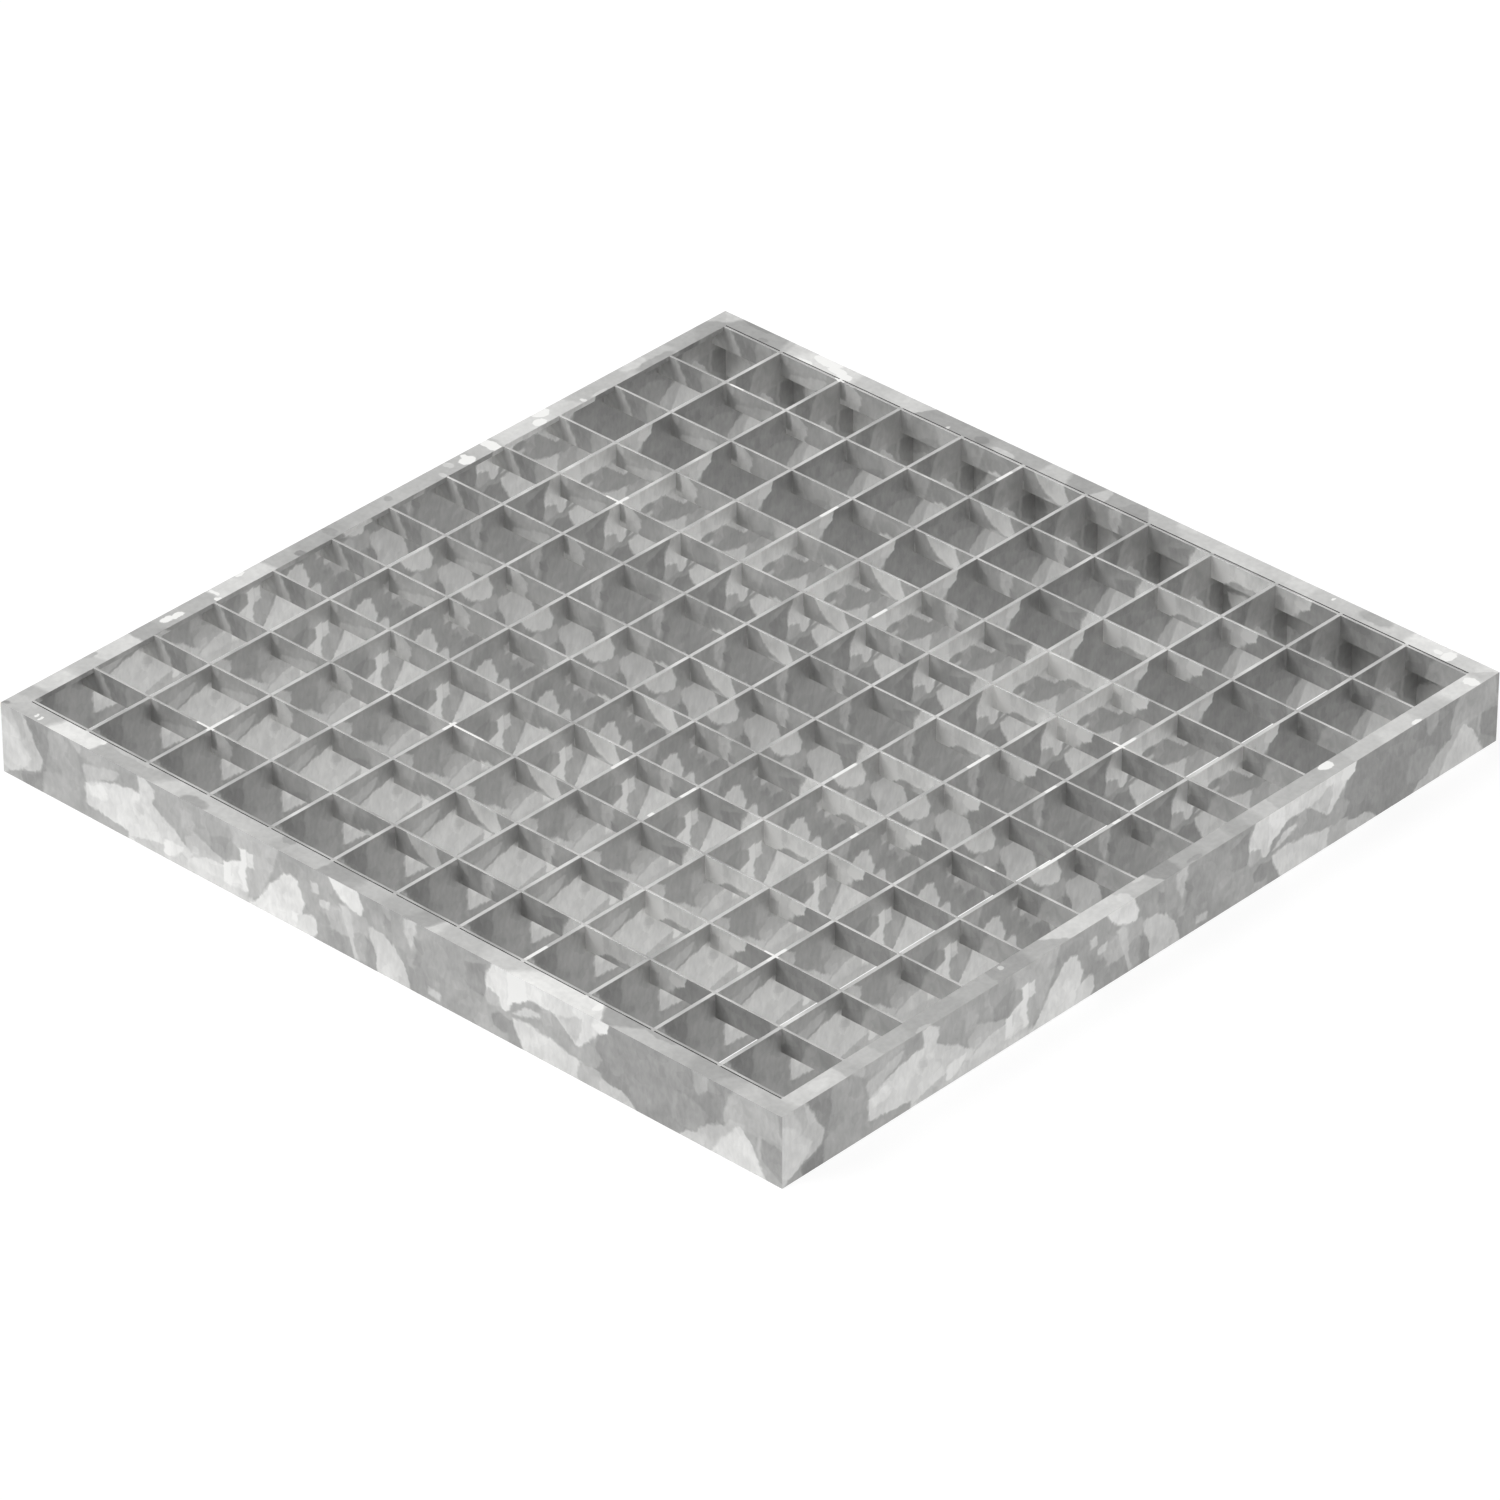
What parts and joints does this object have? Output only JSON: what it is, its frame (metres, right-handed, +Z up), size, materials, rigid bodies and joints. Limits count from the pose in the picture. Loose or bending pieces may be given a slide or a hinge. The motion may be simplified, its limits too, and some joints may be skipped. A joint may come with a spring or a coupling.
{
  "type": "steel grating panel",
  "caption": "Square press-locked steel grating panel: deep bearing bars and shallow cross bars in a square mesh, edged all round by mitred angle, hot-dip galvanised.",
  "frame": {"origin": "centre of the panel's underside, at the middle of its bounding box", "axes": "+Z up through the walking surface, X across the bearing bars, Y along the bearing bars"},
  "size_m": [0.39, 0.39, 0.03],
  "materials": {
    "galvanised_bars": "hot-dip galvanised, dull with spangle",
    "galvanised_edge": "hot-dip galvanised, dull with spangle"
  },
  "bodies": {
    "root": {"bar_grid": "galvanised_bars", "edge_front": "galvanised_edge", "edge_back": "galvanised_edge", "edge_left": "galvanised_edge", "edge_right": "galvanised_edge"}
  },
  "joints": []
}
